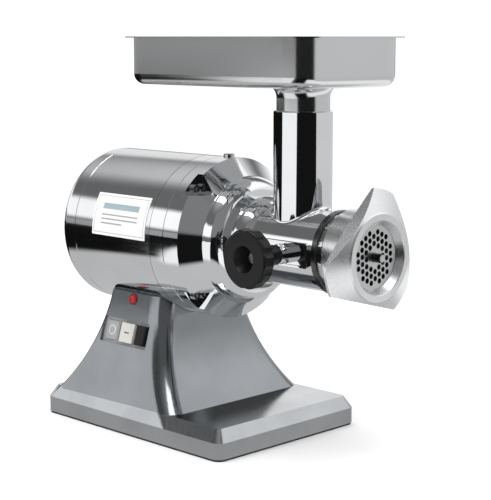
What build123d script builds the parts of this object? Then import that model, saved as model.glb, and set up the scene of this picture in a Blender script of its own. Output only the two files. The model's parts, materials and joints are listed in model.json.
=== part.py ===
from build123d import *
import os
from math import atan, cos, pi, radians, sin, sqrt, tan

# Electric meat grinder, in millimetres. The origin is on the bench under the middle of the foot plate.
# +X runs along the motor and feed-screw axis to the outlet, +Z is up, and the switches are on the -Y side.

os.makedirs("parts", exist_ok=True)

# ---------------------------------------------------------------- driving dimensions
AXIS_Z = 230.0            # motor and feed-screw axis above the bench
GAP = 0.3                 # air between pieces that move apart
SNUG = 0.05               # radial clearance between fitted pieces of one body

BASE_LENGTH = 310.0
BASE_WIDTH = 230.0
BASE_CORNER = 11.0
FOOT_HEIGHT = 2.5         # thickness of the rubber strip under the rim
PLATE_SIDE_TOP = 21.0
PLATE_TOP = 35.0
PLATE_BEVEL = 9.0
WALL = 6.0                # casting wall

PEDESTAL_TOP = 160.0
PEDESTAL_HALF_WIDTH = 70.0
PEDESTAL_FRONT = 16.0
PEDESTAL_REAR = -82.0

DRUM_R = 94.5
SHELL_T = 3.0
DRUM_REAR = -146.0
CAP_SEAM = -118.0
COVER_SEAM = 42.0
CONE_START = 67.0
CONE_END = 87.0
COLLAR_FRONT = 105.0

BARREL_R = 45.0
BARREL_FRONT = 227.0
NECK_X = 172.0
NECK_R = 33.0
NECK_BORE = 30.0
NECK_TOP = 383.0

SLEEVE_R = 38.0           # outside of the removable head
SCREW_BORE = 32.0
PLATE_R = 41.0            # 82 mm plate
PLATE_FRONT = 277.0
PLATE_T = 12.0
THREAD_R = 46.5
NUT_REAR = 245.0
NUT_FRONT = 285.5
NUT_TIP_R = 74.0
PIN_R = 5.0

TRAY_REAR = -35.0
TRAY_FRONT = 249.0
TRAY_HALF_WIDTH = 84.0
TRAY_BOTTOM = 409.5
TRAY_TOP = 464.0
TRAY_RIM = 10.0
TRAY_CORNER = 30.0
SHEET = 1.5

MODULE = 1.25
PINION_TEETH = 17
WHEEL_TEETH = 49
CENTRES = MODULE * (PINION_TEETH + WHEEL_TEETH) / 2
PRESSURE_ANGLE = radians(20)
BACKLASH = 0.14           # thinning of each tooth at its pitch circle
FLANK_STEPS = 3

# ---------------------------------------------------------------- planes and shared shapes
SECTION = Plane(origin=(0, 0, AXIS_Z), x_dir=(1, 0, 0), z_dir=(0, -1, 0))   # (x, radius) half sections
SCREW_AXIS = Axis((0, 0, AXIS_Z), (1, 0, 0))
NECK_SECTION = Plane(origin=(NECK_X, 0, 0), x_dir=(1, 0, 0), z_dir=(0, -1, 0))
NECK_AXIS = Axis((NECK_X, 0, 0), (0, 0, 1))
ON_AXIS = (0.0, 0.0)
ON_END = (Align.CENTER, Align.CENTER, Align.MIN)       # a solid standing on its place
BELOW = (Align.CENTER, Align.CENTER, Align.MAX)        # a solid hanging from its place
IDLER_AXIS = (0.0, -CENTRES)


def across(x, centre=ON_AXIS):
    """A plane square to the screw axis; its own x is +Y and its own y is +Z from the given centre."""
    return Plane(origin=(x, centre[0], AXIS_Z + centre[1]), x_dir=(0, 1, 0), z_dir=(1, 0, 0))


def rod(x_start, x_end, radius, centre=ON_AXIS, mode=Mode.ADD):
    """A cylinder parallel to the screw axis."""
    with Locations(across(x_start, centre)):
        Cylinder(radius, x_end - x_start, align=ON_END, mode=mode)


def half_section(*outline):
    """A closed (x, radius) outline to be turned about the screw axis."""
    with BuildSketch(SECTION) as section:
        with BuildLine():
            Polyline(*outline, close=True)
        make_face()
    return section.sketch


def bearing(x_start, width, bore, outside, centre=ON_AXIS):
    """A ball bearing: two rings and the balls between them, joined by a thin cage."""
    middle = (bore + outside) / 2
    ball_r = (outside - bore) * 0.28
    ring = (outside - bore) * 0.3
    with BuildPart() as race:
        rod(x_start, x_start + width, outside, centre)
        rod(x_start, x_start + width, outside - ring, centre, Mode.SUBTRACT)
        rod(x_start, x_start + width, bore + ring, centre)
        rod(x_start + width * 0.4, x_start + width * 0.6, middle + ring, centre)
        rod(x_start, x_start + width, bore, centre, Mode.SUBTRACT)
        with Locations(across(x_start + width / 2, centre)):
            with PolarLocations(middle, 8):
                Sphere(ball_r)
    return race.part


def gear_outline(x, teeth, first_tooth, centre=ON_AXIS):
    """Involute spur gear section with a tooth centred at first_tooth degrees."""
    pitch_r = MODULE * teeth / 2
    base_r = pitch_r * cos(PRESSURE_ANGLE)
    tip_r = pitch_r + 0.9 * MODULE
    root_r = pitch_r - 1.2 * MODULE
    half_tooth = (pi * MODULE / 2 - BACKLASH) / 2 / pitch_r
    base_angle = half_tooth + tan(PRESSURE_ANGLE) - PRESSURE_ANGLE
    tip_roll = sqrt((tip_r / base_r) ** 2 - 1)
    root_roll = sqrt(max(root_r / base_r, 1.0) ** 2 - 1)
    flank = [(root_r, base_angle)] if root_r < base_r else []
    for step in range(FLANK_STEPS + 1):
        roll = root_roll + (tip_roll - root_roll) * step / FLANK_STEPS
        flank.append((base_r * sqrt(1 + roll**2), base_angle - (roll - atan(roll))))
    points = []
    for tooth in range(teeth):
        middle = radians(first_tooth) + 2 * pi * tooth / teeth
        rising = [(r, middle - angle) for r, angle in flank]
        falling = [(r, middle + angle) for r, angle in reversed(flank)]
        points += [(r * cos(angle), r * sin(angle)) for r, angle in rising + falling]
    with BuildSketch(across(x, centre)) as section:
        with BuildLine():
            Polyline(*points, close=True)
        make_face()
    return section.sketch


def pedestal_form(inset):
    """The flared pedestal, drawn in by inset on every side; the casting's hollow uses the same form."""
    half_foot = BASE_WIDTH / 2 - inset
    half_top = PEDESTAL_HALF_WIDTH - inset
    rear_foot = 3 - BASE_LENGTH / 2 + inset
    rear_top = PEDESTAL_REAR + inset
    front_foot = 88.0 - inset
    front_top = PEDESTAL_FRONT - inset
    foot = PLATE_SIDE_TOP
    top = PEDESTAL_TOP
    middle = (foot + top) / 2
    side_y = (half_foot + half_top) / 2 - 5.2
    rear_x = (rear_foot + rear_top) / 2 + 14.5
    front_x = (front_foot + front_top) / 2 - 21.5
    with BuildPart() as form:
        with BuildSketch(Plane.YZ):
            with BuildLine():
                ThreePointArc((-half_foot, foot), (-side_y, middle), (-half_top, top))
                Line((-half_top, top), (half_top, top))
                ThreePointArc((half_top, top), (side_y, middle), (half_foot, foot))
                Line((half_foot, foot), (-half_foot, foot))
            make_face()
        extrude(amount=BASE_LENGTH, both=True)
        with BuildSketch(Plane.XZ):
            with BuildLine():
                ThreePointArc((rear_foot, foot), (rear_x, middle), (rear_top, top))
                Line((rear_top, top), (front_top, top))
                ThreePointArc((front_top, top), (front_x, middle), (front_foot, foot))
                Line((front_foot, foot), (rear_foot, foot))
            make_face()
        extrude(amount=BASE_WIDTH, both=True, mode=Mode.INTERSECT)
        corners = form.edges().filter_by(lambda edge: edge.bounding_box().size.Z > top - foot - 1)
        fillet(corners.sort_by(Axis.X)[2:], radius=24)
        corners = form.edges().filter_by(lambda edge: edge.bounding_box().size.Z > top - foot - 1)
        fillet(corners.sort_by(Axis.X)[:2], radius=10)
    return form.part


def socket_screw(x_start, x_head, radius, head_r, head_t, centre, mode=Mode.ADD):
    """A screw along +X with its head towards the front and a hexagon socket in the head."""
    rod(x_start, x_head, radius, centre, mode)
    rod(x_head, x_head + head_t, head_r, centre, mode)
    with BuildSketch(across(x_head + head_t, centre)) as key:
        RegularPolygon(head_r * 0.5, 6)
    extrude(key.sketch, amount=-head_t * 0.6, mode=Mode.SUBTRACT)


# ================================================================ pedestal and underside
MOUNT_SPACING_X = 260.0
MOUNT_SPACING_Y = 180.0
BOSS_R = 9.0
COVER_T = 1.5
SCREW_R = 2.6
HOLLOW_TOP = 27.0
MOTOR_BOLT_R = 4.0
MOTOR_BOLT_X = -35.0
MOTOR_BOLT_SPACING = 50.0
MOTOR_BOLT_Y = 25.0
LAMP_X = -37.0
LAMP_Z = 152.5
LAMP_R = 5.5
LAMP_DEPTH = 11.0
SWITCH_ANGLE = radians(17)
SWITCH_NORMAL = (0, -cos(SWITCH_ANGLE), sin(SWITCH_ANGLE))
SWITCH_BAY = Plane(origin=(-43, -81, 112.5), x_dir=(1, 0, 0), z_dir=SWITCH_NORMAL)
BAY_WIDTH = 84.0
BAY_HEIGHT = 31.0
BAY_DEPTH = 18.0
GLAND_Z = 52.0
GLAND_R = 8.0
GLAND_FACE = -141.0
FASTENED = GridLocations(MOUNT_SPACING_X, MOUNT_SPACING_Y, 2, 2)
LAMP_BEZEL_R = 7.2
LAMP_SEAT = 0.6
LAMP_ANGLE = radians(11)
LAMP_NORMAL = (0, -cos(LAMP_ANGLE), sin(LAMP_ANGLE))
LAMP_FACE = Plane(origin=(LAMP_X, -71.3, LAMP_Z), x_dir=(1, 0, 0), z_dir=LAMP_NORMAL)
LAMP_SURFACE = LAMP_FACE.offset(-LAMP_SEAT)

with BuildPart() as pedestal_hollow:
    add(pedestal_form(WALL))
    rod(-BASE_LENGTH, BASE_LENGTH, DRUM_R + WALL, mode=Mode.SUBTRACT)

with BuildPart() as rear_bosses:
    with BuildSketch(Plane.XY.offset(PLATE_SIDE_TOP)):
        with Locations((-MOUNT_SPACING_X / 2, 0)):
            with GridLocations(0, MOUNT_SPACING_Y, 1, 2):
                Circle(BOSS_R)
    extrude(amount=60)
    add(pedestal_form(WALL / 2), mode=Mode.INTERSECT)

with BuildPart() as base_casting:
    with BuildSketch(Plane.XY.offset(PLATE_SIDE_TOP)):
        RectangleRounded(BASE_LENGTH, BASE_WIDTH, BASE_CORNER)
    with BuildSketch(Plane.XY.offset(PLATE_TOP)):
        RectangleRounded(BASE_LENGTH - 2 * PLATE_BEVEL, BASE_WIDTH - 2 * PLATE_BEVEL, BASE_CORNER / 2)
    loft()
    with BuildSketch(Plane.XY.offset(FOOT_HEIGHT)):
        RectangleRounded(BASE_LENGTH, BASE_WIDTH, BASE_CORNER)
    extrude(amount=PLATE_SIDE_TOP - FOOT_HEIGHT)
    add(pedestal_form(0))
    with BuildSketch(Plane.XY.offset(FOOT_HEIGHT)):
        RectangleRounded(BASE_LENGTH - 2 * WALL, BASE_WIDTH - 2 * WALL, BASE_CORNER / 2)
    extrude(amount=HOLLOW_TOP - FOOT_HEIGHT, mode=Mode.SUBTRACT)
    add(pedestal_hollow.part, mode=Mode.SUBTRACT)
    rod(-BASE_LENGTH, BASE_LENGTH, DRUM_R + SNUG, mode=Mode.SUBTRACT)
    with BuildSketch(Plane.XY.offset(FOOT_HEIGHT + COVER_T)):
        with FASTENED:
            Circle(BOSS_R)
    extrude(amount=HOLLOW_TOP - FOOT_HEIGHT - COVER_T)
    add(rear_bosses.part)
    with BuildSketch(Plane.XY.offset(FOOT_HEIGHT + COVER_T)):
        with FASTENED:
            Circle(SCREW_R)
    extrude(amount=14, mode=Mode.SUBTRACT)
    with BuildSketch(Plane.XY.offset(PLATE_TOP + WALL)):
        with Locations((MOTOR_BOLT_X, 0)):
            with GridLocations(MOTOR_BOLT_SPACING, 2 * MOTOR_BOLT_Y, 2, 2):
                Circle(MOTOR_BOLT_R + SNUG)
    extrude(amount=AXIS_Z - DRUM_R - PLATE_TOP, mode=Mode.SUBTRACT)
    with BuildSketch(SWITCH_BAY.offset(BAY_DEPTH)):
        RectangleRounded(BAY_WIDTH, BAY_HEIGHT, 2)
    extrude(amount=-2 * BAY_DEPTH, mode=Mode.SUBTRACT)
    with Locations(LAMP_SURFACE):
        Cylinder(LAMP_R, LAMP_DEPTH, align=BELOW, mode=Mode.SUBTRACT)
        Cylinder(LAMP_BEZEL_R + GAP, 4, align=ON_END, mode=Mode.SUBTRACT)
    with Locations(Plane(origin=(GLAND_FACE, 0, GLAND_Z), z_dir=(1, 0, 0))):
        Cylinder(GLAND_R + 6, 24, align=ON_END)
        Cylinder(GLAND_R, 40, align=ON_END, mode=Mode.SUBTRACT)
base_casting.part.label = "base_casting"
export_step(base_casting.part, "parts/base_casting.step")

with BuildPart() as bottom_cover:
    with BuildSketch(Plane.XY.offset(FOOT_HEIGHT)):
        RectangleRounded(BASE_LENGTH - 2 * WALL - 1, BASE_WIDTH - 2 * WALL - 1, BASE_CORNER / 2)
        with FASTENED:
            Circle(SCREW_R, mode=Mode.SUBTRACT)
        with GridLocations(0, 12, 1, 7):
            SlotOverall(60, 5, mode=Mode.SUBTRACT)
    extrude(amount=COVER_T)
bottom_cover.part.label = "bottom_cover"
export_step(bottom_cover.part, "parts/bottom_cover.step")

STRIP_WIDTH = 14.0
with BuildPart() as foot_strip:
    with BuildSketch():
        RectangleRounded(BASE_LENGTH - 3, BASE_WIDTH - 3, BASE_CORNER - 1.5)
        RectangleRounded(
            BASE_LENGTH - 2 * STRIP_WIDTH, BASE_WIDTH - 2 * STRIP_WIDTH, BASE_CORNER / 2, mode=Mode.SUBTRACT
        )
    extrude(amount=FOOT_HEIGHT)
foot_strip.part.label = "foot_strip"
export_step(foot_strip.part, "parts/foot_strip.step")

SCREW_HEAD_R = 5.0
SCREW_HEAD_T = 1.8
with BuildPart() as bottom_screws:
    with BuildSketch(Plane.XY.offset(FOOT_HEIGHT)):
        with FASTENED:
            Circle(SCREW_HEAD_R)
    extrude(amount=-SCREW_HEAD_T)
    with BuildSketch(Plane.XY.offset(FOOT_HEIGHT)):
        with FASTENED:
            Circle(SCREW_R)
    extrude(amount=15)
bottom_screws.part.label = "bottom_screws"
export_step(bottom_screws.part, "parts/bottom_screws.step")

BOLT_HEAD_R = 7.5
BOLT_HEAD_T = 5.0
BOLT_TOP = AXIS_Z - sqrt((DRUM_R - SHELL_T) ** 2 - (MOTOR_BOLT_Y - MOTOR_BOLT_R) ** 2) - 0.4
BOLT_SEAT = AXIS_Z - sqrt((DRUM_R + WALL) ** 2 - (MOTOR_BOLT_Y - BOLT_HEAD_R) ** 2) - 0.1
with BuildPart() as motor_bolts:
    with BuildSketch(Plane.XY.offset(BOLT_TOP)):
        with Locations((MOTOR_BOLT_X, 0)):
            with GridLocations(MOTOR_BOLT_SPACING, 2 * MOTOR_BOLT_Y, 2, 2):
                Circle(MOTOR_BOLT_R)
    extrude(amount=BOLT_SEAT - BOLT_TOP)
    with BuildSketch(Plane.XY.offset(BOLT_SEAT)):
        with Locations((MOTOR_BOLT_X, 0)):
            with GridLocations(MOTOR_BOLT_SPACING, 2 * MOTOR_BOLT_Y, 2, 2):
                RegularPolygon(BOLT_HEAD_R, 6)
    extrude(amount=-BOLT_HEAD_T)
motor_bolts.part.label = "motor_bolts"
export_step(motor_bolts.part, "parts/motor_bolts.step")

with BuildPart() as cable_gland:
    with Locations(Plane(origin=(GLAND_FACE, 0, GLAND_Z), z_dir=(1, 0, 0))):
        Cylinder(GLAND_R - SNUG, 36, align=ON_END)
    with BuildSketch(Plane(origin=(GLAND_FACE, 0, GLAND_Z), z_dir=(-1, 0, 0))):
        RegularPolygon(GLAND_R + 4, 6)
    extrude(amount=5)
    with BuildSketch(Plane(origin=(GLAND_FACE - 5, 0, GLAND_Z), z_dir=(-1, 0, 0))):
        Circle(GLAND_R + 1)
    extrude(amount=8, taper=12)
    with Locations(Plane(origin=(GLAND_FACE - 13, 0, GLAND_Z), z_dir=(1, 0, 0))):
        Cylinder(4, 60, align=ON_END, mode=Mode.SUBTRACT)
cable_gland.part.label = "cable_gland"
export_step(cable_gland.part, "parts/cable_gland.step")

# ================================================================ switches and electrics
FRAME_T = 4.0
FRAME_SET_BACK = 4.5      # the switch plate lies below the pedestal's surface
BUTTON_HEIGHT = 24.0
STOP_X = -26.5            # places along the plate from its middle
START_X = 4.5
BLOCK_X = 27.5
STOP_WIDTH = 20.0
START_WIDTH = 23.0
BLOCK_WIDTH = 19.0
BOX_DEPTH = 14.0
STOP_PROUD = 1.0          # how far each button stands out of the plate
START_PROUD = 5.0
SWITCH_FACE = SWITCH_BAY.offset(-FRAME_SET_BACK)
SWITCH_UP = Axis((0, 0, 0), SWITCH_FACE.y_dir)
SWITCH_OUT = Axis((0, 0, 0), SWITCH_FACE.z_dir)

with BuildPart() as switch_frame:
    with BuildSketch(SWITCH_FACE):
        RectangleRounded(BAY_WIDTH - 2 * SNUG, BAY_HEIGHT - 2 * SNUG, 2)
        for place, width in ((STOP_X, STOP_WIDTH), (START_X, START_WIDTH)):
            with Locations((place, 0)):
                RectangleRounded(width + 2 * GAP, BUTTON_HEIGHT + 2 * GAP, 1.2, mode=Mode.SUBTRACT)
    extrude(amount=-FRAME_T)
    with BuildSketch(SWITCH_FACE):
        for place in (STOP_X + 13.2, STOP_X + 16.6):
            with Locations((place, 0)):
                Rectangle(1.4, BUTTON_HEIGHT)
    extrude(amount=2.2)
    with BuildSketch(SWITCH_FACE.offset(-FRAME_T)):
        Rectangle(BAY_WIDTH - 4, BAY_HEIGHT - 0.5)
        Rectangle(BAY_WIDTH - 7, BAY_HEIGHT - 3.5, mode=Mode.SUBTRACT)
    extrude(amount=-BOX_DEPTH)
    with BuildSketch(SWITCH_FACE.offset(-FRAME_T - BOX_DEPTH)):
        Rectangle(BAY_WIDTH - 4, BAY_HEIGHT - 0.5)
    extrude(amount=-2)
switch_frame.part.label = "switch_frame"
export_step(switch_frame.part, "parts/switch_frame.step")

with BuildPart() as switch_block:
    with BuildSketch(SWITCH_FACE):
        with Locations((BLOCK_X, 0)):
            Rectangle(BLOCK_WIDTH, BUTTON_HEIGHT)
    extrude(amount=4.5)
    fillet(switch_block.edges().filter_by(SWITCH_UP).group_by(SWITCH_OUT)[-1], radius=3.5)
switch_block.part.label = "switch_block"
export_step(switch_block.part, "parts/switch_block.step")


def push_button(place, width, proud):
    """A rectangular push button with a skirt behind the switch plate that stops it from falling out."""
    with BuildPart() as button:
        with BuildSketch(SWITCH_FACE.offset(proud)):
            with Locations((place, 0)):
                RectangleRounded(width, BUTTON_HEIGHT, 1)
        extrude(amount=-proud - FRAME_T - GAP)
        face_edges = button.faces().sort_by(SWITCH_OUT)[-1].edges()
        fillet(face_edges, radius=0.7)
        with BuildSketch(SWITCH_FACE.offset(-FRAME_T - GAP)):
            with Locations((place, 0)):
                Rectangle(width + 3, BUTTON_HEIGHT + 2)
        extrude(amount=-2)
        with BuildSketch(SWITCH_FACE.offset(-FRAME_T - GAP - 2)):
            with Locations((place, 0)):
                Circle(2.5)
        extrude(amount=-5)
    return button.part


SPRING_COIL_R = 3.6
SPRING_WIRE_R = 0.4
SPRING_LENGTH = 6.0


def return_spring(place):
    """A small compression spring round the stem behind a button."""
    seat = SWITCH_FACE.offset(-FRAME_T - GAP - 2 - SPRING_WIRE_R)
    start = seat.from_local_coords(Vector(place, 0, 0))
    with BuildPart() as spring:
        with BuildLine():
            coil = Helix(1.8, SPRING_LENGTH, SPRING_COIL_R, center=start, direction=seat.z_dir * -1)
        with BuildSketch(Plane(origin=coil @ 0, z_dir=coil % 0)):
            Circle(SPRING_WIRE_R)
        sweep(path=coil, is_frenet=True)
    return spring.part


with BuildPart() as start_button:
    add(push_button(START_X, START_WIDTH, START_PROUD))
start_button.part.label = "start_button"
export_step(start_button.part, "parts/start_button.step")

with BuildPart() as stop_button:
    add(push_button(STOP_X, STOP_WIDTH, STOP_PROUD))
stop_button.part.label = "stop_button"
export_step(stop_button.part, "parts/stop_button.step")

with BuildPart() as start_spring:
    add(return_spring(START_X))
start_spring.part.label = "start_spring"
export_step(start_spring.part, "parts/start_spring.step")

with BuildPart() as stop_spring:
    add(return_spring(STOP_X))
stop_spring.part.label = "stop_spring"
export_step(stop_spring.part, "parts/stop_spring.step")

with BuildPart() as lamp_bezel:
    with Locations(LAMP_SURFACE.offset(SNUG)):
        Cylinder(LAMP_BEZEL_R, 2.0, align=ON_END)
        Cylinder(LAMP_R - SNUG, LAMP_DEPTH - 1, align=BELOW)
    chamfer(lamp_bezel.edges().sort_by(Axis.Y)[0], length=0.8)
    with Locations(LAMP_SURFACE.offset(3)):
        Cylinder(LAMP_R - 0.8, 7.1, align=BELOW, mode=Mode.SUBTRACT)
lamp_bezel.part.label = "lamp_bezel"
export_step(lamp_bezel.part, "parts/lamp_bezel.step")

with BuildPart() as lamp_lens:
    with Locations(LAMP_SURFACE.offset(3)):
        Cylinder(LAMP_R - 0.8 - SNUG, 7, align=BELOW)
    fillet(lamp_lens.edges().sort_by(Axis.Y)[0], radius=1.8)
lamp_lens.part.label = "lamp_lens"
export_step(lamp_lens.part, "parts/lamp_lens.step")

COVER_TOP = FOOT_HEIGHT + COVER_T
with BuildPart() as contactor:
    with Locations((-15, -30, COVER_TOP)):
        Box(70, 45, 40, align=ON_END)
    with Locations((-15, -30, COVER_TOP + 40)):
        Box(46, 45, 12, align=ON_END)
    with Locations((-15, -30, COVER_TOP + 46)):
        with GridLocations(14, 52, 3, 2):
            Cylinder(3.5, 12, align=BELOW, mode=Mode.SUBTRACT)
contactor.part.label = "contactor"
export_step(contactor.part, "parts/contactor.step")

with BuildPart() as run_capacitor:
    with Locations((-70, 40, COVER_TOP)):
        Cylinder(20, 72, align=ON_END)
    fillet(run_capacitor.edges().sort_by(Axis.Z)[-1], radius=3)
    with Locations((-70, 40, COVER_TOP + 72)):
        with GridLocations(14, 0, 2, 1):
            Box(1, 6, 9, align=ON_END)
run_capacitor.part.label = "run_capacitor"
export_step(run_capacitor.part, "parts/run_capacitor.step")

# ================================================================ motor
BRACKET_REAR = 30.0
CORE_REAR = -85.0
CORE_FRONT = -15.0
ROTOR_R = 46.0
AIR_GAP = 0.6
BEARING_6202 = (11.0, 7.5, 17.5)      # width, bore radius, outside radius
BEARING_6203 = (12.0, 8.5, 20.0)
BEARING_6000 = (8.0, 5.0, 13.0)
BEARING_6205 = (15.0, 12.5, 26.0)
REAR_BEARING_X = -132.0
SHELL_INSIDE = DRUM_R - SHELL_T
COVER_SCREWS = [(side * 59.0, level * 62.0) for side in (-1, 1) for level in (-1, 1)]

SEAM_CHAMFER = 0.5
GROOVE_X = 18.0
GROOVE_WIDTH = 0.9
GROOVE_DEPTH = 0.9

with BuildPart() as motor_shell:
    rod(CAP_SEAM, COVER_SEAM, DRUM_R)
    chamfer(motor_shell.edges().filter_by(GeomType.CIRCLE), length=SEAM_CHAMFER)
    rod(GROOVE_X, GROOVE_X + GROOVE_WIDTH, DRUM_R, mode=Mode.SUBTRACT)
    rod(GROOVE_X, GROOVE_X + GROOVE_WIDTH, DRUM_R - GROOVE_DEPTH)
    rod(CAP_SEAM, COVER_SEAM, SHELL_INSIDE, mode=Mode.SUBTRACT)
    with BuildSketch(Plane.XY.offset(BOLT_TOP - 10)):
        with Locations((MOTOR_BOLT_X, 0)):
            with GridLocations(MOTOR_BOLT_SPACING, 2 * MOTOR_BOLT_Y, 2, 2):
                Circle(MOTOR_BOLT_R + SNUG)
    extrude(amount=12, mode=Mode.SUBTRACT)
motor_shell.part.label = "motor_shell"
export_step(motor_shell.part, "parts/motor_shell.step")

VENTS = 20
CAP_WALL = 3.0
with BuildPart() as rear_cap:
    rod(DRUM_REAR, CAP_SEAM, DRUM_R)
    chamfer(rear_cap.edges().sort_by(Axis.X)[-1], length=SEAM_CHAMFER)
    fillet(rear_cap.edges().sort_by(Axis.X)[0], radius=11)
    rod(CAP_SEAM, CAP_SEAM + 6, SHELL_INSIDE - SNUG)
    rod(DRUM_REAR + CAP_WALL, CAP_SEAM + 6, DRUM_R - CAP_WALL - 8, mode=Mode.SUBTRACT)
    rod(DRUM_REAR + 12, CAP_SEAM - 6, DRUM_R - CAP_WALL, mode=Mode.SUBTRACT)
    rod(DRUM_REAR + CAP_WALL, REAR_BEARING_X + BEARING_6202[0], BEARING_6202[2] + 6)
    for spoke in range(6):
        with BuildSketch(across(DRUM_REAR + CAP_WALL)):
            with PolarLocations(52, 1, start_angle=60 * spoke):
                Rectangle(62, 3)
        extrude(amount=8)
    rod(REAR_BEARING_X, 0, BEARING_6202[2], mode=Mode.SUBTRACT)
    rod(REAR_BEARING_X - 3, 0, BEARING_6202[1] + 3, mode=Mode.SUBTRACT)
    with BuildSketch(across(DRUM_REAR)):
        with PolarLocations(52, VENTS, start_angle=9):
            SlotOverall(36, 5)
    extrude(amount=CAP_WALL, mode=Mode.SUBTRACT)
rear_cap.part.label = "rear_cap"
export_step(rear_cap.part, "parts/rear_cap.step")

with BuildPart() as stator_core:
    rod(CORE_REAR, CORE_FRONT, SHELL_INSIDE - SNUG)
    rod(CORE_REAR, CORE_FRONT, ROTOR_R + AIR_GAP, mode=Mode.SUBTRACT)
    with BuildSketch(across(CORE_REAR)):
        with PolarLocations(61, 24):
            RectangleRounded(20, 7, 3)
    extrude(amount=CORE_FRONT - CORE_REAR, mode=Mode.SUBTRACT)
stator_core.part.label = "stator_core"
export_step(stator_core.part, "parts/stator_core.step")

with BuildPart() as stator_windings:
    for x_start, x_end in ((CORE_REAR - 15, CORE_REAR - SNUG), (CORE_FRONT + SNUG, CORE_FRONT + 15)):
        rod(x_start, x_end, 74)
        rod(x_start, x_end, 50, mode=Mode.SUBTRACT)
    winding_ends = stator_windings.edges().group_by(Axis.X)
    fillet(winding_ends[0] + winding_ends[-1], radius=5)
stator_windings.part.label = "stator_windings"
export_step(stator_windings.part, "parts/stator_windings.step")

with BuildPart() as gear_housing:
    rod(BRACKET_REAR, COVER_SEAM, SHELL_INSIDE - SNUG)
    rod(BRACKET_REAR, COVER_SEAM, BEARING_6203[2], mode=Mode.SUBTRACT)
    rod(BRACKET_REAR, COVER_SEAM - BEARING_6000[0], BEARING_6000[2] - 3, IDLER_AXIS, Mode.SUBTRACT)
    rod(COVER_SEAM - BEARING_6000[0], COVER_SEAM, BEARING_6000[2], IDLER_AXIS, Mode.SUBTRACT)
    for centre in COVER_SCREWS:
        rod(BRACKET_REAR, COVER_SEAM, SCREW_R, centre, Mode.SUBTRACT)
gear_housing.part.label = "gear_housing"
export_step(gear_housing.part, "parts/gear_housing.step")

with BuildPart() as rear_bearing:
    add(bearing(REAR_BEARING_X, *BEARING_6202))
rear_bearing.part.label = "rear_bearing"
export_step(rear_bearing.part, "parts/rear_bearing.step")

with BuildPart() as front_bearing:
    add(bearing(BRACKET_REAR, *BEARING_6203))
front_bearing.part.label = "front_bearing"
export_step(front_bearing.part, "parts/front_bearing.step")

ROTOR_TIP = 56.5
SHAFT_STEP = 44.0
PINION_BORE = 6.0
with BuildPart() as rotor_shaft:
    rod(REAR_BEARING_X - 1, REAR_BEARING_X + 11.3, BEARING_6202[1] - SNUG)
    rod(REAR_BEARING_X + 11.3, BRACKET_REAR - GAP, 11)
    rod(BRACKET_REAR - GAP, SHAFT_STEP, BEARING_6203[1] - SNUG)
    rod(SHAFT_STEP, ROTOR_TIP, PINION_BORE)
rotor_shaft.part.label = "rotor_shaft"
export_step(rotor_shaft.part, "parts/rotor_shaft.step")

with BuildPart() as rotor_core:
    rod(CORE_REAR, CORE_FRONT, ROTOR_R)
    rod(CORE_REAR, CORE_FRONT, 11, mode=Mode.SUBTRACT)
    with BuildSketch(across(CORE_FRONT)):
        with PolarLocations(39, 28):
            Circle(2.2)
    extrude(amount=CORE_REAR - CORE_FRONT, mode=Mode.SUBTRACT)
    for x_start in (CORE_REAR - 6, CORE_FRONT):
        rod(x_start, x_start + 6, 43)
        rod(x_start, x_start + 6, 33, mode=Mode.SUBTRACT)
rotor_core.part.label = "rotor_core"
export_step(rotor_core.part, "parts/rotor_core.step")

FAN_X = -115.0
with BuildPart() as cooling_fan:
    rod(FAN_X, FAN_X + 10, 18)
    rod(FAN_X + 7, FAN_X + 10, 66)
    with BuildSketch(across(FAN_X)):
        with PolarLocations(41, 9):
            Rectangle(48, 2.5)
    extrude(amount=10)
    rod(FAN_X, FAN_X + 10, 11, mode=Mode.SUBTRACT)
cooling_fan.part.label = "cooling_fan"
export_step(cooling_fan.part, "parts/cooling_fan.step")

# ================================================================ gearbox
STAGE_1 = (45.0, 55.0)
STAGE_2 = (60.0, 74.0)
DOWN = -90.0
HALF_PITCH = 180 / WHEEL_TEETH
IDLER_SHAFT_R = 7.0
OUTPUT_BEARING_X = 79.0
MOUTH_BEARING_X = COLLAR_FRONT
SEAL_X = MOUTH_BEARING_X + BEARING_6205[0] + GAP
DRIVE_REAR = SEAL_X + 6.5
DRIVE_FRONT = 139.6
DRIVE_HUB_R = 17.0
SOCKET_SIDE = 16.0
SOCKET_DEPTH = 11.0

with BuildPart() as rotor_pinion:
    extrude(gear_outline(STAGE_1[0] - 0.5, PINION_TEETH, DOWN), amount=STAGE_1[1] - STAGE_1[0] + 1)
    rod(STAGE_1[0] - 1, STAGE_1[1] + 1, PINION_BORE, mode=Mode.SUBTRACT)
rotor_pinion.part.label = "rotor_pinion"
export_step(rotor_pinion.part, "parts/rotor_pinion.step")

with BuildPart() as idler_gear:
    idler_teeth = gear_outline(STAGE_1[0], WHEEL_TEETH, -DOWN + HALF_PITCH, IDLER_AXIS)
    extrude(idler_teeth, amount=STAGE_1[1] - STAGE_1[0])
    rod(STAGE_1[0], STAGE_1[1], IDLER_SHAFT_R, IDLER_AXIS, Mode.SUBTRACT)
    with BuildSketch(across(STAGE_1[0], IDLER_AXIS)):
        with PolarLocations(18.5, 6):
            Circle(5)
    extrude(amount=STAGE_1[1] - STAGE_1[0], mode=Mode.SUBTRACT)
idler_gear.part.label = "idler_gear"
export_step(idler_gear.part, "parts/idler_gear.step")

with BuildPart() as idler_pinion:
    extrude(gear_outline(STAGE_2[0] - 1, PINION_TEETH, -DOWN, IDLER_AXIS), amount=STAGE_2[1] - STAGE_2[0] + 2)
    rod(STAGE_2[0] - 1, STAGE_2[1] + 1, IDLER_SHAFT_R, IDLER_AXIS, Mode.SUBTRACT)
idler_pinion.part.label = "idler_pinion"
export_step(idler_pinion.part, "parts/idler_pinion.step")

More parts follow.
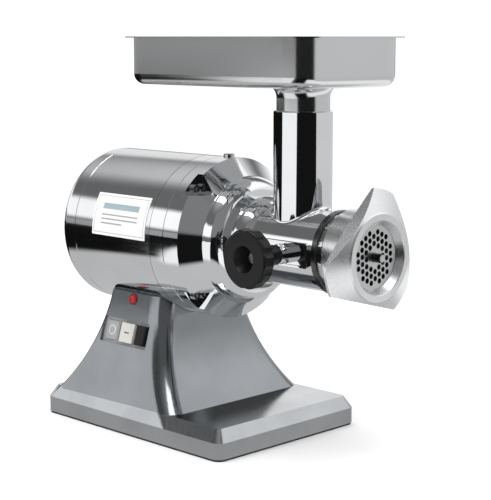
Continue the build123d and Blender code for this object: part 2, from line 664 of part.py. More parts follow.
IDLER_FRONT_X = OUTPUT_BEARING_X
with BuildPart() as idler_shaft:
    idler_ends = (COVER_SEAM - BEARING_6000[0], IDLER_FRONT_X + BEARING_6000[0] - GAP)
    rod(*idler_ends, BEARING_6000[1] - SNUG, IDLER_AXIS)
    rod(COVER_SEAM + GAP, IDLER_FRONT_X - GAP, IDLER_SHAFT_R, IDLER_AXIS)
idler_shaft.part.label = "idler_shaft"
export_step(idler_shaft.part, "parts/idler_shaft.step")

with BuildPart() as idler_bearings:
    for x_start in (COVER_SEAM - BEARING_6000[0], IDLER_FRONT_X):
        add(bearing(x_start, *BEARING_6000, centre=IDLER_AXIS))
idler_bearings.part.label = "idler_bearings"
export_step(idler_bearings.part, "parts/idler_bearings.step")

with BuildPart() as output_gear:
    extrude(gear_outline(STAGE_2[0], WHEEL_TEETH, DOWN + HALF_PITCH), amount=STAGE_2[1] - STAGE_2[0])
    rod(STAGE_2[0], STAGE_2[1], BEARING_6205[1], mode=Mode.SUBTRACT)
output_gear.part.label = "output_gear"
export_step(output_gear.part, "parts/output_gear.step")

with BuildPart() as output_shaft:
    rod(STAGE_2[0] - 1, SEAL_X - GAP, BEARING_6205[1] - SNUG)
    rod(SEAL_X - GAP, DRIVE_REAR, 15)
    rod(DRIVE_REAR, DRIVE_FRONT, DRIVE_HUB_R)
    with BuildSketch(across(DRIVE_FRONT)):
        Rectangle(SOCKET_SIDE, SOCKET_SIDE)
    extrude(amount=-SOCKET_DEPTH, mode=Mode.SUBTRACT)
output_shaft.part.label = "output_shaft"
export_step(output_shaft.part, "parts/output_shaft.step")

with BuildPart() as output_bearings:
    for x_start in (OUTPUT_BEARING_X, MOUTH_BEARING_X):
        add(bearing(x_start, *BEARING_6205))
output_bearings.part.label = "output_bearings"
export_step(output_bearings.part, "parts/output_bearings.step")

with BuildPart() as oil_seal:
    rod(SEAL_X, SEAL_X + 6, BEARING_6205[2])
    rod(SEAL_X, SEAL_X + 6, 15 + SNUG, mode=Mode.SUBTRACT)
oil_seal.part.label = "oil_seal"
export_step(oil_seal.part, "parts/oil_seal.step")

NOTCH_FLOOR_X = 58.0
NOTCH_Y = 53.0
NOTCH_Z = 56.0
MOUTH_SCREW_R = 3.0
MOUTH_SCREWS = [(42 * cos(radians(angle)), 42 * sin(radians(angle))) for angle in (45, 135, 225, 315)]
PLUG_X = 54.5
COLLAR_R = DRUM_R - (CONE_END - CONE_START) * 1.02
COLLAR_FACE_R = 60.0
RIDGE_RADIUS = 1.2

cone_foot = (CONE_END, COLLAR_R)
with BuildPart() as gear_cover:
    with BuildSketch(SECTION):
        with BuildLine():
            Polyline(
                (COLLAR_FRONT, 0), (COVER_SEAM, 0), (COVER_SEAM, DRUM_R), (CONE_START, DRUM_R), cone_foot
            )
            ThreePointArc(cone_foot, (CONE_END + 11.5, COLLAR_R - 4.3), (COLLAR_FRONT, COLLAR_FACE_R))
            Line((COLLAR_FRONT, COLLAR_FACE_R), (COLLAR_FRONT, 0))
        make_face()
    revolve(axis=SCREW_AXIS)
    ridges = gear_cover.edges().filter_by(GeomType.CIRCLE).group_by(Axis.X)
    fillet(ridges[-1] + ridges[-2] + ridges[-3], radius=RIDGE_RADIUS)
    chamfer(gear_cover.edges().filter_by(GeomType.CIRCLE).group_by(Axis.X)[0], length=SEAM_CHAMFER)
    rod(COVER_SEAM, STAGE_1[1] + 1.5, 75, mode=Mode.SUBTRACT)
    rod(COVER_SEAM, STAGE_2[1] + 4, 56, mode=Mode.SUBTRACT)
    rod(COVER_SEAM, COLLAR_FRONT, BEARING_6205[2], mode=Mode.SUBTRACT)
    rod(IDLER_FRONT_X - 2, IDLER_FRONT_X + BEARING_6000[0], BEARING_6000[2], IDLER_AXIS, Mode.SUBTRACT)
    for y, z in COVER_SCREWS:
        side = 1 if y > 0 else -1
        level = 1 if z > 0 else -1
        with BuildSketch(across(NOTCH_FLOOR_X)):
            with Locations((side * (NOTCH_Y + 30), level * (NOTCH_Z + 30))):
                Rectangle(60, 60)
        extrude(amount=40, mode=Mode.SUBTRACT)
        rod(COVER_SEAM, NOTCH_FLOOR_X, SCREW_R, (y, z), Mode.SUBTRACT)
    for centre in MOUTH_SCREWS:
        rod(STAGE_2[1], STAGE_2[1] + 10, MOUTH_SCREW_R + 2.6, centre, Mode.SUBTRACT)
        rod(STAGE_2[1], COLLAR_FRONT, MOUTH_SCREW_R, centre, Mode.SUBTRACT)
    with Locations((PLUG_X, 0, AXIS_Z + 70)):
        Cylinder(4, 30, align=ON_END, mode=Mode.SUBTRACT)
gear_cover.part.label = "gear_cover"
export_step(gear_cover.part, "parts/gear_cover.step")

with BuildPart() as cover_screws:
    for centre in COVER_SCREWS:
        socket_screw(BRACKET_REAR + 4, NOTCH_FLOOR_X, SCREW_R, 4.6, 4.0, centre)
cover_screws.part.label = "cover_screws"
export_step(cover_screws.part, "parts/cover_screws.step")

with BuildPart() as mouth_screws:
    for centre in MOUTH_SCREWS:
        rod(STAGE_2[1] + 5, STAGE_2[1] + 10, MOUTH_SCREW_R + 2, centre)
        rod(STAGE_2[1] + 10, COLLAR_FRONT + 10, MOUTH_SCREW_R, centre)
mouth_screws.part.label = "mouth_screws"
export_step(mouth_screws.part, "parts/mouth_screws.step")

with BuildPart() as top_plug:
    with Locations((PLUG_X, 0, AXIS_Z + DRUM_R)):
        Cylinder(6.5, 3.8, align=ON_END)
        Cylinder(4 - SNUG, 14, align=BELOW)
    chamfer(top_plug.edges().sort_by(Axis.Z)[-1], length=0.8)
top_plug.part.label = "top_plug"
export_step(top_plug.part, "parts/top_plug.step")

LABEL_REAR = -84.0
LABEL_FRONT = 11.0
LABEL_ANGLE = 31.0
LABEL_T = 0.5
with BuildPart() as nameplate:
    with BuildSketch(across(LABEL_REAR)):
        with BuildLine():
            CenterArc((0, 0), DRUM_R + SNUG, 180 - LABEL_ANGLE, LABEL_ANGLE)
            CenterArc((0, 0), DRUM_R + SNUG + LABEL_T, 180 - LABEL_ANGLE, LABEL_ANGLE)
            Line((-DRUM_R - SNUG, 0), (-DRUM_R - SNUG - LABEL_T, 0))
            Line(PolarLine((0, 0), DRUM_R + SNUG, 180 - LABEL_ANGLE, mode=Mode.PRIVATE) @ 1,
                 PolarLine((0, 0), DRUM_R + SNUG + LABEL_T, 180 - LABEL_ANGLE, mode=Mode.PRIVATE) @ 1)
        make_face()
    extrude(amount=LABEL_FRONT - LABEL_REAR)
nameplate.part.label = "nameplate"
export_step(nameplate.part, "parts/nameplate.step")

# ================================================================ barrel and feed neck
CLAMP_X = 188.0
PAD_LENGTH = 64.0
PAD_HEIGHT = 27.0
PAD_FACE = 48.0
PAD_BORDER = 2.0
PAD_RECESS = 2.0
CLAMP_BOSS_FACE = 59.5    # end of the round boss, out from the screw axis
CLAMP_BOSS_R = 11.3
STUD_R = 6.0
SLEEVE_REAR = 128.4
MOUTH_BORE = SLEEVE_R + GAP
HUB_R = 54.0
CLAMP_PLANE = Plane(origin=(CLAMP_X, -PAD_FACE, AXIS_Z), x_dir=(1, 0, 0), z_dir=(0, -1, 0))

with BuildPart() as mouth_casting:
    with BuildSketch(SECTION):
        with BuildLine():
            Polyline((BARREL_FRONT, 0), (COLLAR_FRONT + SNUG, 0), (COLLAR_FRONT + SNUG, HUB_R), (116, HUB_R))
            ThreePointArc((116, HUB_R), (127, 51.2), (134, BARREL_R))
            Polyline((134, BARREL_R), (BARREL_FRONT, BARREL_R), (BARREL_FRONT, 0))
        make_face()
    revolve(axis=SCREW_AXIS)
    with Locations((NECK_X, 0, AXIS_Z)):
        Cylinder(NECK_R, NECK_TOP - AXIS_Z, align=ON_END)
    root = mouth_casting.edges().filter_by(GeomType.BSPLINE)
    fillet(root, radius=5)
    with BuildSketch(CLAMP_PLANE):
        with Locations((2, 0)):
            RectangleRounded(PAD_LENGTH, PAD_HEIGHT, 2)
    extrude(amount=-(PAD_FACE - 20))
    with BuildSketch(CLAMP_PLANE):
        with Locations((2, 0)):
            RectangleRounded(PAD_LENGTH - 2 * PAD_BORDER, PAD_HEIGHT - 2 * PAD_BORDER, 1)
    extrude(amount=-PAD_RECESS, mode=Mode.SUBTRACT)
    with Locations(CLAMP_PLANE.offset(CLAMP_BOSS_FACE - PAD_FACE)):
        Cylinder(CLAMP_BOSS_R, CLAMP_BOSS_FACE - 40, align=BELOW)
    chamfer(mouth_casting.edges().filter_by(GeomType.CIRCLE).sort_by(Axis.Y)[0], length=0.8)
    chamfer(mouth_casting.edges().group_by(Axis.Z)[-1], length=1)
    rod(COLLAR_FRONT, BARREL_FRONT, BEARING_6205[2], mode=Mode.SUBTRACT)
    rod(SLEEVE_REAR - 1, BARREL_FRONT, MOUTH_BORE, mode=Mode.SUBTRACT)
    with Locations((NECK_X, 0, AXIS_Z)):
        Cylinder(NECK_BORE, NECK_TOP - AXIS_Z, align=ON_END, mode=Mode.SUBTRACT)
    with Locations(CLAMP_PLANE.offset(CLAMP_BOSS_FACE - PAD_FACE)):
        Cylinder(STUD_R, CLAMP_BOSS_FACE - 10, align=BELOW, mode=Mode.SUBTRACT)
    for centre in MOUTH_SCREWS:
        rod(COLLAR_FRONT, COLLAR_FRONT + 12, MOUTH_SCREW_R, centre, Mode.SUBTRACT)
mouth_casting.part.label = "mouth_casting"
export_step(mouth_casting.part, "parts/mouth_casting.step")

# ================================================================ clamp knob
KNOB_BACK = 95.0          # distances out from the screw axis
KNOB_FACE = 110.0
KNOB_R = 32.4
FLUTES = 10
FLUTE_R = 12.0
FLUTE_DEPTH = 1.7
KNOB_ROUNDING = 4.5
RECESS_R = 14.7
RECESS_FLOOR_R = 6.5
RECESS_DEPTH = 15.0
STEM_R = 11.2
STEM_FLARE_R = 17.0
STEM_FLARE = 5.0
STEM_FOOT = 64.0
WASHER_R = 10.8
WASHER_T = 1.4
NUT_R = 9.5

with BuildPart() as knob_washer:
    with Locations(CLAMP_PLANE.offset(CLAMP_BOSS_FACE - PAD_FACE + SNUG)):
        Cylinder(WASHER_R, WASHER_T, align=ON_END)
        Cylinder(STUD_R + GAP, WASHER_T, align=ON_END, mode=Mode.SUBTRACT)
knob_washer.part.label = "knob_washer"
export_step(knob_washer.part, "parts/knob_washer.step")

COLLAR_START = CLAMP_BOSS_FACE + WASHER_T + 2 * GAP
with BuildPart() as clamp_stud:
    with Locations(CLAMP_PLANE.offset(KNOB_BACK - PAD_FACE)):
        Cylinder(STUD_R - SNUG, KNOB_BACK - SLEEVE_R - 0.5, align=BELOW)
    with BuildSketch(CLAMP_PLANE.offset(COLLAR_START - PAD_FACE)):
        RegularPolygon(NUT_R, 6)
    extrude(amount=STEM_FOOT - COLLAR_START)
clamp_stud.part.label = "clamp_stud"
export_step(clamp_stud.part, "parts/clamp_stud.step")

with BuildPart() as knob_blank:
    with Locations(CLAMP_PLANE.offset(KNOB_BACK - PAD_FACE)):
        Cylinder(KNOB_R, KNOB_FACE - KNOB_BACK, align=ON_END)
    fillet(knob_blank.edges().sort_by(Axis.Y)[0], radius=KNOB_ROUNDING)
    fillet(knob_blank.edges().sort_by(Axis.Y)[-1], radius=KNOB_ROUNDING / 2)

with BuildPart() as clamp_knob:
    with BuildSketch(CLAMP_PLANE.offset(KNOB_BACK - PAD_FACE)) as fluted:
        Circle(KNOB_R)
        with PolarLocations(KNOB_R + FLUTE_R - FLUTE_DEPTH, FLUTES, start_angle=18):
            Circle(FLUTE_R, mode=Mode.SUBTRACT)
        fillet(fluted.vertices(), radius=1)
    extrude(amount=KNOB_FACE - KNOB_BACK)
    add(knob_blank.part, mode=Mode.INTERSECT)
    with BuildSketch(CLAMP_PLANE.offset(KNOB_BACK - PAD_FACE)):
        Circle(STEM_FLARE_R)
    with BuildSketch(CLAMP_PLANE.offset(KNOB_BACK - PAD_FACE - STEM_FLARE)):
        Circle(STEM_R)
    loft()
    with BuildSketch(CLAMP_PLANE.offset(STEM_FOOT - PAD_FACE)):
        Circle(STEM_R)
    extrude(amount=KNOB_BACK - STEM_FOOT)
    with BuildSketch(CLAMP_PLANE.offset(KNOB_FACE - PAD_FACE)):
        Circle(RECESS_R)
    with BuildSketch(CLAMP_PLANE.offset(KNOB_FACE - PAD_FACE - RECESS_DEPTH)):
        Circle(RECESS_FLOOR_R)
    loft(mode=Mode.SUBTRACT)
    with Locations(CLAMP_PLANE.offset(KNOB_BACK - PAD_FACE)):
        Cylinder(STUD_R - SNUG, KNOB_BACK, align=BELOW, mode=Mode.SUBTRACT)
clamp_knob.part.label = "clamp_knob"
export_step(clamp_knob.part, "parts/clamp_knob.step")

# ================================================================ removable head
JOURNAL_R = 14.0
REAR_WALL = (140.2, 146.0)
FLANGE_R = 47.3
FLANGE_REAR = BARREL_FRONT + GAP
FLANGE_FRONT = 235.0
MOUTH_REAR = 252.0
MOUTH_FRONT = 270.0
INLET_R = 25.5
LOCK_PIN_R = 2.4
LOCK_PIN = (0.0, PLATE_R + 0.8)

with BuildPart() as head_sleeve:
    rod(SLEEVE_REAR, FLANGE_FRONT, SLEEVE_R)
    rod(FLANGE_REAR, FLANGE_FRONT, FLANGE_R)
    chamfer(head_sleeve.edges().filter_by(GeomType.CIRCLE).group_by(Axis.X)[-1], length=0.8)
    rod(FLANGE_FRONT - 1, MOUTH_FRONT, THREAD_R - 0.5)
    for ridge in range(7):
        rod(NUT_REAR - 6 + 4.0 * ridge, NUT_REAR - 4 + 4.0 * ridge, THREAD_R)
    rod(SLEEVE_REAR, REAR_WALL[0], SCREW_BORE, mode=Mode.SUBTRACT)
    rod(REAR_WALL[0], REAR_WALL[1], JOURNAL_R + SNUG, mode=Mode.SUBTRACT)
    rod(REAR_WALL[1], MOUTH_FRONT, SCREW_BORE, mode=Mode.SUBTRACT)
    rod(MOUTH_REAR, MOUTH_FRONT, PLATE_R + GAP, mode=Mode.SUBTRACT)
    rod(MOUTH_REAR, MOUTH_FRONT, LOCK_PIN_R, LOCK_PIN, Mode.SUBTRACT)
    with Locations((NECK_X, 0, AXIS_Z)):
        Cylinder(INLET_R, SLEEVE_R + 2, align=ON_END, mode=Mode.SUBTRACT)
head_sleeve.part.label = "head_sleeve"
export_step(head_sleeve.part, "parts/head_sleeve.step")

with BuildPart() as plate_pin:
    rod(MOUTH_REAR, MOUTH_FRONT - 0.5, LOCK_PIN_R - SNUG / 2, LOCK_PIN)
plate_pin.part.label = "plate_pin"
export_step(plate_pin.part, "parts/plate_pin.step")

FLIGHT_R = 31.4
FLIGHT_PITCH = 34.0
HELIX_R = 20.0            # radius of the line that the flight is swept along
FLIGHT_T = 5.0
CORE_R = 14.0
FLIGHT_START = 150.0
FLIGHT_END = 249.0
KNIFE_X = (MOUTH_REAR + 1.3, PLATE_FRONT - PLATE_T - GAP)
TANG_SIDE = 15.4
CORE_END = MOUTH_REAR + 1
SPIGOT_R = 6.0
SPIGOT_LENGTH = 14.0
KNIFE_SQUARE = 14.0
with BuildPart() as feed_screw:
    with BuildLine():
        flight_base = Vector(FLIGHT_START, 0, AXIS_Z)
        helix = Helix(
            FLIGHT_PITCH, FLIGHT_END - FLIGHT_START, HELIX_R, center=flight_base, direction=(1, 0, 0)
        )
    radial = helix @ 0 - flight_base
    with BuildSketch(Plane(origin=helix @ 0, x_dir=radial, z_dir=helix % 0)):
        with Locations((FLIGHT_R - HELIX_R, 0)):
            Rectangle(FLIGHT_R - CORE_R + 3, FLIGHT_T, align=(Align.MAX, Align.CENTER))
    sweep(path=helix, is_frenet=True)
    rod(FLIGHT_START - 4, CORE_END, CORE_R)
    rod(REAR_WALL[0] - GAP, FLIGHT_START - 4, JOURNAL_R)
    with BuildSketch(across(DRIVE_FRONT - SOCKET_DEPTH + 1)):
        Rectangle(TANG_SIDE, TANG_SIDE)
    extrude(amount=SOCKET_DEPTH)
    rod(CORE_END - SPIGOT_LENGTH, CORE_END, SPIGOT_R, mode=Mode.SUBTRACT)
feed_screw.part.label = "feed_screw"
export_step(feed_screw.part, "parts/feed_screw.step")

PIN_REACH = 2.5           # how far the spindle stands out of the ring nut
with BuildPart() as knife_spindle:
    rod(CORE_END - SPIGOT_LENGTH + SNUG, CORE_END, SPIGOT_R - SNUG)
    with BuildSketch(across(CORE_END)):
        Rectangle(KNIFE_SQUARE, KNIFE_SQUARE)
    extrude(amount=KNIFE_X[1] - CORE_END)
    rod(KNIFE_X[1] - 1, NUT_FRONT + PIN_REACH, PIN_R)
    chamfer(knife_spindle.edges().sort_by(Axis.X)[-1], length=0.8)
knife_spindle.part.label = "knife_spindle"
export_step(knife_spindle.part, "parts/knife_spindle.step")

with BuildPart() as knife:
    with BuildSketch(across(KNIFE_X[0])) as blades:
        Circle(15)
        with PolarLocations(0, 4):
            with Locations((18, 2)):
                Rectangle(34, 11)
    extrude(amount=KNIFE_X[1] - KNIFE_X[0])
    with BuildSketch(across(KNIFE_X[0])):
        Rectangle(KNIFE_SQUARE + 2 * SNUG, KNIFE_SQUARE + 2 * SNUG)
    extrude(amount=KNIFE_X[1] - KNIFE_X[0], mode=Mode.SUBTRACT)
knife.part.label = "knife"
export_step(knife.part, "parts/knife.step")

HOLE_R = 3.0
HOLE_PITCH = 7.7
HOLE_FIELD_R = 30.5
HUB_FIELD_R = 12.5
PATTERN_TURN = radians(4)  # from columns that stand upright
PATTERN_X = (0, cos(PATTERN_TURN), sin(PATTERN_TURN))
PATTERN_PLANE = Plane(origin=(PLATE_FRONT, 0, AXIS_Z), x_dir=PATTERN_X, z_dir=(1, 0, 0))
hole_places = [
    (HOLE_PITCH * row * sqrt(3) / 2, HOLE_PITCH * (column + row / 2))
    for column in range(-8, 9)
    for row in range(-8, 9)
]
hole_places = [place for place in hole_places if HUB_FIELD_R < sqrt(place[0]**2 + place[1]**2) < HOLE_FIELD_R]
with BuildPart() as hole_plate:
    rod(PLATE_FRONT - PLATE_T, PLATE_FRONT, PLATE_R)
    with BuildSketch(PATTERN_PLANE):
        with Locations(*hole_places):
            Circle(HOLE_R)
    extrude(amount=-PLATE_T, mode=Mode.SUBTRACT)
    with BuildSketch(across(PLATE_FRONT)):
        Circle(PIN_R + GAP)
        with Locations(LOCK_PIN):
            Circle(LOCK_PIN_R + GAP)
    extrude(amount=-PLATE_T, mode=Mode.SUBTRACT)
hole_plate.part.label = "hole_plate"
export_step(hole_plate.part, "parts/hole_plate.step")

NUT_SIDE = 50.6           # distance of the three long sides from the axis
NUT_BODY_R = 50.0
WING_ANGLE = 75.0
WING_REAR = 268.0
WING_TIP = (270.0, 273.0)
BELL_R = 40.0
NUT_SHOULDER = PLATE_FRONT + GAP
NUT_SHOULDER_R = 35.0
with BuildPart() as ring_nut:
    revolve(
        half_section(
            (NUT_REAR, THREAD_R + GAP), (NUT_REAR, NUT_BODY_R), (WING_REAR, NUT_BODY_R),
            (WING_TIP[0], NUT_TIP_R), (WING_TIP[1], NUT_TIP_R), (NUT_FRONT - 1.2, 49.4), (NUT_FRONT, 47.6),
            (NUT_FRONT, BELL_R + 0.8), (NUT_FRONT - 0.8, BELL_R), (NUT_SHOULDER, NUT_SHOULDER_R),
            (NUT_SHOULDER, THREAD_R + GAP),
        ),
        axis=SCREW_AXIS,
    )
    with BuildSketch(across(NUT_REAR - 1)) as wings:
        RegularPolygon(NUT_SIDE, 3, major_radius=False, rotation=WING_ANGLE)
    extrude(amount=NUT_FRONT - NUT_REAR + 2, mode=Mode.INTERSECT)
ring_nut.part.label = "ring_nut"
export_step(ring_nut.part, "parts/ring_nut.step")

# ================================================================ tray
SPOUT_R = NECK_BORE - GAP
SPOUT_BOTTOM = 350.0
SPOUT_TOP = 397.0
FLARE_R = 36.0
TRAY_LENGTH = TRAY_FRONT - TRAY_REAR
TRAY_MIDDLE = (TRAY_FRONT + TRAY_REAR) / 2
TRAY_FILLET = 12.0


def pan_solid(inset, floor, top):
    """A tray-shaped block with rounded corners and a rounded bottom edge."""
    with BuildPart() as pan:
        with BuildSketch(Plane.XY.offset(floor)):
            with Locations((TRAY_MIDDLE, 0)):
                RectangleRounded(TRAY_LENGTH - 2 * inset, 2 * (TRAY_HALF_WIDTH - inset), TRAY_CORNER - inset)
        extrude(amount=top - floor)
        fillet(pan.edges().group_by(Axis.Z)[0], radius=TRAY_FILLET - inset)
    return pan.part


with BuildPart() as tray_pan:
    add(pan_solid(0, TRAY_BOTTOM, TRAY_TOP))
    with BuildSketch(Plane.XY.offset(TRAY_TOP - SHEET)):
        with Locations((TRAY_MIDDLE, 0)):
            RectangleRounded(
                TRAY_LENGTH + 2 * TRAY_RIM, 2 * (TRAY_HALF_WIDTH + TRAY_RIM), TRAY_CORNER + TRAY_RIM
            )
    extrude(amount=SHEET)
    add(pan_solid(SHEET, TRAY_BOTTOM + SHEET, TRAY_TOP), mode=Mode.SUBTRACT)
    with Locations((NECK_X, 0, TRAY_BOTTOM)):
        Cylinder(FLARE_R - SHEET, 3 * SHEET, mode=Mode.SUBTRACT)
tray_pan.part.label = "tray_pan"
export_step(tray_pan.part, "parts/tray_pan.step")

with BuildPart() as tray_spout:
    with BuildSketch(NECK_SECTION):
        with BuildLine():
            Polyline(
                (SPOUT_R - SHEET, SPOUT_TOP), (SPOUT_R - SHEET, SPOUT_BOTTOM),
                (SPOUT_R, SPOUT_BOTTOM), (SPOUT_R, SPOUT_TOP),
            )
            TangentArc((SPOUT_R, SPOUT_TOP), (FLARE_R, TRAY_BOTTOM), tangent=(0, 1))
            Line((FLARE_R, TRAY_BOTTOM), (FLARE_R - SHEET, TRAY_BOTTOM))
            TangentArc((SPOUT_R - SHEET, SPOUT_TOP), (FLARE_R - SHEET, TRAY_BOTTOM), tangent=(0, 1))
        make_face()
    revolve(axis=NECK_AXIS)
tray_spout.part.label = "tray_spout"
export_step(tray_spout.part, "parts/tray_spout.step")
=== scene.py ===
import json
import math

import bmesh
import bpy
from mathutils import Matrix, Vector


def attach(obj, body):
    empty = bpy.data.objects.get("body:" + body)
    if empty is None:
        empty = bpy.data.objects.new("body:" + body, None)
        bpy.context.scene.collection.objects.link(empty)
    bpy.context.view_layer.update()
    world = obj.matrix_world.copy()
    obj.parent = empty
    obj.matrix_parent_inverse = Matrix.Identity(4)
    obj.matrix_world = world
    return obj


# Electric meat grinder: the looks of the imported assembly, in metres, in the assembly's own frame.
# +X runs along the motor and feed screw to the outlet, +Z is up, and the switches are on the -Y side.

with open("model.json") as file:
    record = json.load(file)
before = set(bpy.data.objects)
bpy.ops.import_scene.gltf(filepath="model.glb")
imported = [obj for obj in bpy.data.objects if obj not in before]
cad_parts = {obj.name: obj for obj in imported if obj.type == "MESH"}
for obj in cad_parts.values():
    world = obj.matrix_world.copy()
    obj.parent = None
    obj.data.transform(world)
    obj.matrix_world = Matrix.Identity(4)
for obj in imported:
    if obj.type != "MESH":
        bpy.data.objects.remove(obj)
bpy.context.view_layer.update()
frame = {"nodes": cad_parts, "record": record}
nodes = frame["nodes"]
scene = bpy.context.scene

# ---------------------------------------------------------------- measures
MM = 0.001
MICRON = 0.000001
AXIS_Z = 0.23                   # height of the motor's and the feed screw's axis

# how finishing marks are stretched along X, Y and Z
EVEN = (1, 1, 1)
ALONG_X = (0.06, 1, 1)
ALONG_Z = (1, 1, 0.1)
TURNED = (1, 0.1, 0.1)

# scale of the slow clouds, share of the fine marks in the roughness, and strength of the bump
METAL_CLOUDS = 14.0
PLASTIC_CLOUDS = 25.0
MARKS_SHARE = 0.6
MARKS_BUMP = 0.3
SKIN_BUMP = 0.6


# ---------------------------------------------------------------- material helpers
class Nodes:
    """Short calls for building a node tree."""

    def __init__(self, tree):
        self.tree = tree
        self.tree.nodes.clear()

    def add(self, kind, **settings):
        node = self.tree.nodes.new(kind)
        for name, value in settings.items():
            setattr(node, name, value)
        return node

    def put(self, socket, value):
        """Links an output to a socket, or sets a plain number or colour on it."""
        if isinstance(value, bpy.types.NodeSocket):
            self.tree.links.new(value, socket)
        else:
            socket.default_value = value

    def math(self, operation, a, b=0.0):
        node = self.add("ShaderNodeMath", operation=operation)
        for socket, value in zip(node.inputs, (a, b)):
            self.put(socket, value)
        return node.outputs[0]

    def step(self, value, low, high, to_low=0.0, to_high=1.0):
        """A smooth rise from to_low at low to to_high at high."""
        node = self.add("ShaderNodeMapRange", interpolation_type="SMOOTHSTEP")
        for socket, number in zip(node.inputs, (value, low, high, to_low, to_high)):
            self.put(socket, number)
        return node.outputs[0]

    def mix(self, share, a, b):
        node = self.add("ShaderNodeMix", data_type="RGBA")
        self.put(node.inputs[0], share)
        self.put(node.inputs[6], a)
        self.put(node.inputs[7], b)
        return node.outputs[2]

    def noise(self, vector, scale, detail, roughness=0.55):
        node = self.add("ShaderNodeTexNoise")
        self.put(node.inputs["Vector"], vector)
        self.put(node.inputs["Scale"], scale)
        self.put(node.inputs["Detail"], detail)
        self.put(node.inputs["Roughness"], roughness)
        return node.outputs["Fac"]

    def stretch(self, scale):
        """Object coordinates stretched by a different factor along each axis."""
        place = self.add("ShaderNodeTexCoord")
        mapping = self.add("ShaderNodeMapping")
        self.put(mapping.inputs["Vector"], place.outputs["Object"])
        mapping.inputs["Scale"].default_value = scale
        return mapping.outputs["Vector"]

    def bump(self, height, strength, distance):
        node = self.add("ShaderNodeBump")
        self.put(node.inputs["Height"], height)
        node.inputs["Strength"].default_value = strength
        node.inputs["Distance"].default_value = distance
        return node.outputs["Normal"]


def grey(value, tint=0.0):
    """A grey as a colour, a little bluer with a tint."""
    return (value * (1 - tint), value, value * (1 + tint), 1.0)


def new_material(name):
    material = bpy.data.materials.new(name)
    material.use_nodes = True
    return material


def principled(material):
    """Starts a material's tree over with one shader, and returns the tree's helper and the shader."""
    n = Nodes(material.node_tree)
    shader = n.add("ShaderNodeBsdfPrincipled")
    out = n.add("ShaderNodeOutputMaterial")
    n.put(out.inputs["Surface"], shader.outputs[0])
    return n, shader


def metal(name, colour, rough, grain, streak, depth, wear=0.05):
    """A bare metal: streak is how the finishing marks are stretched along X, Y and Z, grain their scale."""
    material = new_material(name)
    n, shader = principled(material)
    marks = n.noise(n.stretch(streak), grain, 2.0, 0.5)
    clouds = n.noise(n.stretch(EVEN), METAL_CLOUDS, 3.0)
    fine = n.math("MULTIPLY", marks, MARKS_SHARE)
    uneven = n.math("ADD", fine, n.math("MULTIPLY", clouds, 1 - MARKS_SHARE))
    dark = tuple(c * (1 - wear) for c in colour[:3]) + (1.0,)
    n.put(shader.inputs["Base Color"], n.mix(n.step(clouds, 0.35, 0.7), colour, dark))
    n.put(shader.inputs["Roughness"], n.step(uneven, 0.3, 0.7, *rough))
    shader.inputs["Metallic"].default_value = 1.0
    n.put(shader.inputs["Normal"], n.bump(marks, MARKS_BUMP, depth))
    return material


def plastic(name, colour, rough, grain, depth, coat=0.0, shine=0.5):
    """A moulded plastic or rubber with a fine texture."""
    material = new_material(name)
    n, shader = principled(material)
    skin = n.noise(n.stretch(EVEN), grain, 3.0)
    clouds = n.noise(n.stretch(EVEN), PLASTIC_CLOUDS, 3.0)
    light = tuple(min(1.0, c * 1.15 + 0.004) for c in colour[:3]) + (1.0,)
    n.put(shader.inputs["Base Color"], n.mix(n.step(clouds, 0.3, 0.75), colour, light))
    n.put(shader.inputs["Roughness"], n.step(clouds, 0.3, 0.7, *rough))
    shader.inputs["Coat Weight"].default_value = coat
    shader.inputs["Specular IOR Level"].default_value = shine
    n.put(shader.inputs["Normal"], n.bump(skin, SKIN_BUMP, depth))
    return material


